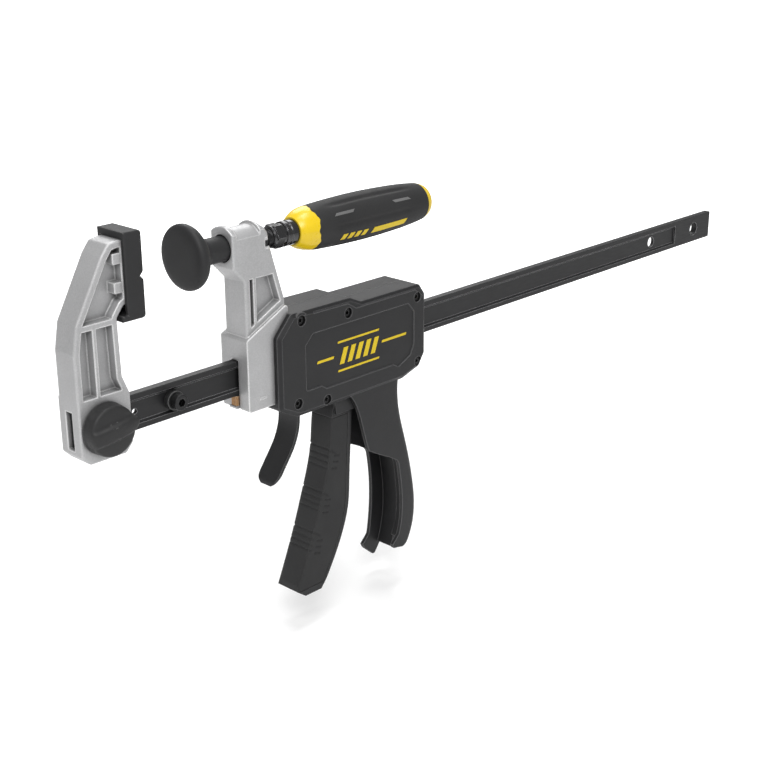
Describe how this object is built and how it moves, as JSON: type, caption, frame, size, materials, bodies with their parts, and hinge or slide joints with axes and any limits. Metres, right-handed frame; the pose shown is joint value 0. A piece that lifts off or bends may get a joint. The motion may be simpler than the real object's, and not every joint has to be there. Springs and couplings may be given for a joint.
{
  "type": "quick release bar clamp",
  "caption": "One-handed quick release bar clamp: a fixed jaw that unlocks with a knob, a trigger-driven sliding jaw, a release lever and a screw with a handle.",
  "frame": {"origin": "centre of the screw's clamping pad face, on the screw's axis", "axes": "+X along the bar from the fixed jaw to the tail, +Z away from the trigger, -Y faces the side with the lock knob"},
  "size_m": [0.5947, 0.0371, 0.2482],
  "materials": {
    "bar": "satin black",
    "casting": "silver paint over a fine cast texture",
    "pad": "fine matte",
    "black_plastic": "fine matte",
    "housing": "fine matte",
    "soft_grip": "soft matte",
    "yellow_plastic": "smooth",
    "steel": "plain",
    "dark_steel": "blackened",
    "black_steel": "blackened",
    "brass": "plain"
  },
  "bodies": {
    "frame": {"bar": "bar", "fixed_jaw": "casting", "fixed_pad": "pad", "stop_screw": "dark_steel", "stop_bush": "black_plastic", "stop_nut": "dark_steel", "lock_tube": "dark_steel", "lock_spring": "steel"},
    "lock_slider": {"lock_clip": "steel"},
    "lock": {"lock_pin": "steel", "lock_knob": "black_plastic"},
    "carriage": {"moving_jaw": "casting", "bar_shoe": "brass", "shoe_keeper": "steel", "jaw_dowels": "steel", "housing_near": "housing", "housing_far": "housing", "housing_screws": "dark_steel", "trigger_pin": "steel", "brake_pin": "steel", "screw_nut": "brass", "drive_spring": "steel", "brake_spring": "steel"},
    "trigger": {"trigger": "black_plastic", "trigger_grip": "soft_grip", "push_pin": "steel"},
    "drive_plates": {"drive_plate_1": "steel", "drive_plate_2": "steel"},
    "release": {"release_lever": "black_steel", "brake_plate": "steel", "lever_rivets": "steel"},
    "pad": {"clamp_pad": "pad"},
    "screw": {"spindle": "black_steel", "pad_clip": "steel", "drive_hex": "black_steel", "handle_collar": "black_plastic", "handle_core": "yellow_plastic", "handle_grip": "soft_grip"}
  },
  "joints": [
    {"name": "lock_pull", "type": "slide", "parent": "frame", "child": "lock_slider", "axis": [0, -1, 0], "range_m": [0, 0.0066], "stiffness_N_per_m": 300, "springref_m": -0.008, "deforming": ["lock_spring"]},
    {"name": "lock_turn", "type": "hinge", "parent": "lock_slider", "child": "lock", "pos_m": [-0.0599, 0, -0.074], "axis": [0, -1, 0], "range_deg": [0, 90]},
    {"name": "carriage_slide", "type": "slide", "parent": "frame", "child": "carriage", "axis": [1, 0, 0], "range_m": [-0.031, 0.2686]},
    {"name": "trigger_squeeze", "type": "hinge", "parent": "carriage", "child": "trigger", "pos_m": [0.0936, 0, -0.0525], "axis": [0, -1, 0], "range_deg": [0, 20], "stiffness_Nm_per_rad": 0.6, "springref_deg": -14.32},
    {"name": "drive_push", "type": "slide", "parent": "carriage", "child": "drive_plates", "axis": [1, 0, 0], "range_m": [0, 0.0138], "deforming": ["drive_spring"]},
    {"name": "release_pull", "type": "hinge", "parent": "carriage", "child": "release", "pos_m": [0.0776, 0, -0.058], "axis": [0, -1, 0], "range_deg": [0, 6], "stiffness_Nm_per_rad": 0.5, "springref_deg": -8.59, "deforming": ["brake_spring"]},
    {"name": "pad_slide", "type": "slide", "parent": "carriage", "child": "pad", "axis": [-1, 0, 0], "range_m": [-0.01, 0.008]},
    {"name": "screw_turn", "type": "hinge", "parent": "pad", "child": "screw", "pos_m": [0, 0, 0], "axis": [-1, 0, 0], "range_deg": [-1205, 965]}
  ],
  "couplings": [
    {"joint": "drive_push", "follows": "trigger_squeeze", "m_per_rad": 0.0388},
    {"joint": "screw_turn", "follows": "pad_slide", "rad_per_m": 2094.4}
  ]
}
